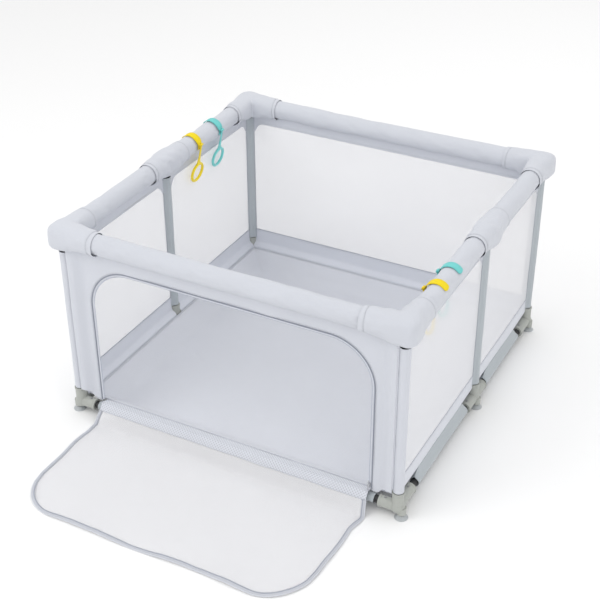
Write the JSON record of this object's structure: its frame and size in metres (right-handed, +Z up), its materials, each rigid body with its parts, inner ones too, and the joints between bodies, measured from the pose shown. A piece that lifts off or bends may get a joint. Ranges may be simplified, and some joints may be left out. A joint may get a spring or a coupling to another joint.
{
  "type": "playpen",
  "caption": "Square toddler play pen of tubes and connectors with padded top rails, mesh walls, a padded floor, an arched zip doorway with its fabric door folded down, and pull rings.",
  "frame": {"origin": "middle of the pen, midway between its corner posts, on the floor it stands on", "axes": "+Z up, -Y towards the doorway side, +X towards the right-hand side seen from the doorway"},
  "size_m": [1.2742, 1.7494, 0.7311],
  "materials": {
    "connector_plastic": "moulded, fine satin grain",
    "tube_steel": "black powder coat",
    "button_steel": "dulled steel",
    "suction_rubber": "smooth, slightly translucent",
    "pad_fabric": "plain-woven polyester over foam",
    "panel_fabric": "plain-woven polyester",
    "sleeve_fabric": "plain-woven polyester",
    "floor_fabric": "plain-woven polyester over thin foam",
    "apron_fabric": "ribbed grey webbing",
    "mesh_fabric": "fine hexagonal net",
    "zip_nylon": "woven tape with a nylon coil",
    "zip_metal": "die-cast, plated",
    "strap_yellow": "soft webbing",
    "strap_teal": "soft webbing",
    "ring_yellow": "moulded, soft sheen",
    "ring_teal": "moulded, soft sheen"
  },
  "bodies": {
    "frame": {"lower_corner_front_left": "connector_plastic", "lower_corner_front_right": "connector_plastic", "lower_corner_back_left": "connector_plastic", "lower_corner_back_right": "connector_plastic", "lower_tee_left": "connector_plastic", "lower_tee_right": "connector_plastic", "upper_corners": "connector_plastic", "upper_tees": "connector_plastic", "lower_tube_front": "tube_steel", "lower_tube_back": "tube_steel", "lower_tube_left_front": "tube_steel", "lower_tube_left_rear": "tube_steel", "lower_tube_right_front": "tube_steel", "lower_tube_right_rear": "tube_steel", "post_front_left": "tube_steel", "post_front_right": "tube_steel", "post_back_left": "tube_steel", "post_back_right": "tube_steel", "post_mid_left": "tube_steel", "post_mid_right": "tube_steel", "upper_tubes": "tube_steel", "suction_feet": "suction_rubber", "post_sleeves": "panel_fabric", "rail_sleeves": "sleeve_fabric", "rail_pad_front": "pad_fabric", "rail_pad_back": "pad_fabric", "rail_pad_left_front": "pad_fabric", "rail_pad_left_rear": "pad_fabric", "rail_pad_right_front": "pad_fabric", "rail_pad_right_rear": "pad_fabric", "corner_cover_front_left": "pad_fabric", "corner_cover_front_right": "pad_fabric", "corner_cover_back_left": "pad_fabric", "corner_cover_back_right": "pad_fabric", "mid_cover_left": "pad_fabric", "mid_cover_right": "pad_fabric", "front_panel": "panel_fabric", "mesh_wall_back": "mesh_fabric", "mesh_wall_left_front": "mesh_fabric", "mesh_wall_left_rear": "mesh_fabric", "mesh_wall_right_front": "mesh_fabric", "mesh_wall_right_rear": "mesh_fabric", "floor_pad": "floor_fabric", "door_zip": "zip_nylon", "ring_strap_left_front": "strap_yellow", "ring_strap_left_rear": "strap_teal", "ring_strap_right_front": "strap_yellow", "ring_strap_right_rear": "strap_teal"},
    "door_apron": {"door_apron": "apron_fabric"},
    "door_flap": {"door_flap": "mesh_fabric"},
    "zip_slider": {"zip_slider": "zip_metal"},
    "zip_pull": {"zip_pull": "zip_metal"},
    "snap_buttons": {"snap_buttons": "button_steel"},
    "pull_ring_left_front": {"pull_ring_left_front": "ring_yellow"},
    "pull_ring_left_rear": {"pull_ring_left_rear": "ring_teal"},
    "pull_ring_right_front": {"pull_ring_right_front": "ring_yellow"},
    "pull_ring_right_rear": {"pull_ring_right_rear": "ring_teal"}
  },
  "joints": [
    {"name": "door_sill_fold", "type": "hinge", "parent": "frame", "child": "door_apron", "pos_m": [0, -0.608, 0.07], "axis": [-1, 0, 0], "range_deg": [0, 145.35]},
    {"name": "door_crease_fold", "type": "hinge", "parent": "door_apron", "child": "door_flap", "pos_m": [0, -0.655, 0.002], "axis": [-1, 0, 0], "range_deg": [-55.55, 0]},
    {"name": "zip_slide", "type": "slide", "parent": "frame", "child": "zip_slider", "axis": [0, 0, 1], "range_m": [0, 0.35]},
    {"name": "zip_pull_swing", "type": "hinge", "parent": "zip_slider", "child": "zip_pull", "pos_m": [0.4967, -0.6026, 0.0945], "axis": [-1, 0, 0], "range_deg": [0, 176]},
    {"name": "snap_button_press", "type": "slide", "parent": "frame", "child": "snap_buttons", "axis": [0, 0, -1], "range_m": [0, 0.004], "stiffness_N_per_m": 1500},
    {"name": "ring_swing_left_front", "type": "hinge", "parent": "frame", "child": "pull_ring_left_front", "pos_m": [-0.551, 0.175, 0.694], "axis": [0, -1, 0], "range_deg": [0, 100]},
    {"name": "ring_swing_left_rear", "type": "hinge", "parent": "frame", "child": "pull_ring_left_rear", "pos_m": [-0.551, 0.322, 0.694], "axis": [0, -1, 0], "range_deg": [0, 100]},
    {"name": "ring_swing_right_front", "type": "hinge", "parent": "frame", "child": "pull_ring_right_front", "pos_m": [0.551, -0.372, 0.694], "axis": [0, 1, 0], "range_deg": [0, 100]},
    {"name": "ring_swing_right_rear", "type": "hinge", "parent": "frame", "child": "pull_ring_right_rear", "pos_m": [0.551, -0.262, 0.694], "axis": [0, 1, 0], "range_deg": [0, 100]}
  ],
  "couplings": [
    {"joint": "door_crease_fold", "follows": "door_sill_fold", "ratio": -0.3808}
  ]
}
